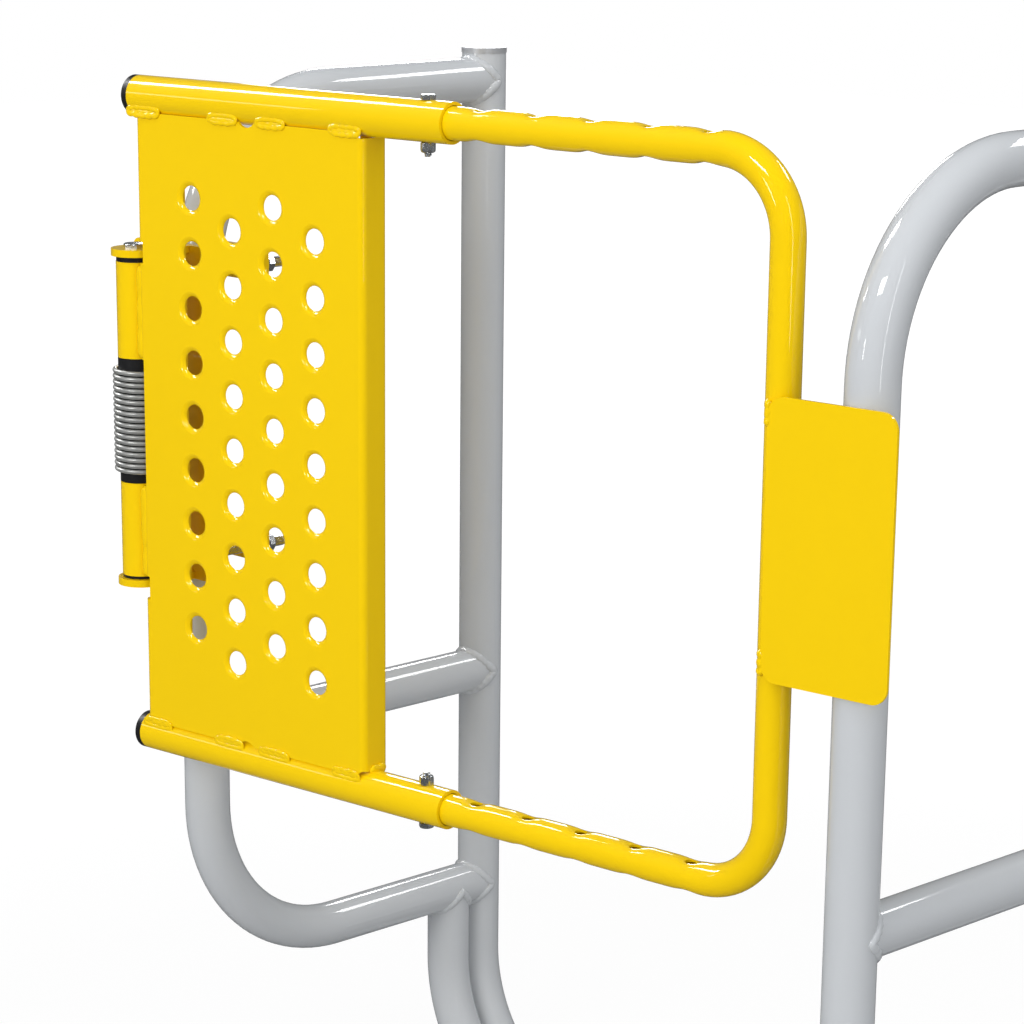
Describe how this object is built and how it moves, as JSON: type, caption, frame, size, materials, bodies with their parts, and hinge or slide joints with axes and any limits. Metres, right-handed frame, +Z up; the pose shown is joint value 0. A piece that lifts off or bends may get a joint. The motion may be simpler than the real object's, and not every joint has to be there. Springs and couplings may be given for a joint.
{
  "type": "self-closing safety gate",
  "caption": "Self-closing swing gate with a perforated panel and an adjustable tube frame, clamped and hinged to one of two looped tube posts.",
  "frame": {"origin": "centre of the flat foot of the left rear upright, where the post stands on its base", "axes": "+Z up; +X along the opening, from the left (hinge) post to the right (strike) post; +Y away from the person who pulls the gate open"},
  "size_m": [0.8649, 0.4616, 1.002],
  "materials": {
    "post_paint": "smooth satin light grey",
    "cap_zinc": "dull plated steel",
    "black_plastic": "satin black moulded plastic",
    "zinc": "bright zinc plate",
    "bracket_paint": "glossy safety yellow",
    "panel_paint": "glossy safety yellow",
    "gate_paint": "glossy safety yellow"
  },
  "bodies": {
    "posts": {"left_post_loop": "post_paint", "left_mid_brace": "post_paint", "left_rear_upright": "post_paint", "left_upright_cap": "cap_zinc", "left_lower_rail": "post_paint", "right_post_loop": "post_paint", "right_mid_brace": "post_paint", "right_rear_upright": "post_paint", "right_upright_cap": "cap_zinc", "right_lower_rail": "post_paint", "hinge_bracket": "bracket_paint", "upper_clamp_bar": "bracket_paint", "lower_clamp_bar": "bracket_paint", "upper_clamp_bolts": "zinc", "lower_clamp_bolts": "zinc", "upper_clamp_nuts": "zinc", "lower_clamp_nuts": "zinc", "hinge_pin": "zinc", "hinge_pin_nut": "zinc", "spring_tube": "black_plastic", "torsion_spring": "zinc"},
    "gate": {"upper_barrel": "gate_paint", "lower_barrel": "gate_paint", "upper_bushing": "black_plastic", "lower_bushing": "black_plastic", "panel": "panel_paint", "top_sleeve": "gate_paint", "bottom_sleeve": "gate_paint", "top_end_cap": "black_plastic", "bottom_end_cap": "black_plastic", "extension_tube": "gate_paint", "strike_plate": "gate_paint", "top_adjust_bolt": "zinc", "bottom_adjust_bolt": "zinc", "top_adjust_nut": "zinc", "bottom_adjust_nut": "zinc"}
  },
  "joints": [
    {"name": "gate_hinge", "type": "hinge", "parent": "posts", "child": "gate", "pos_m": [-0.04652, -0.41865, 0.7], "axis": [0, 0, -1], "range_deg": [0, 110], "stiffness_Nm_per_rad": 2, "springref_deg": -68.75}
  ]
}
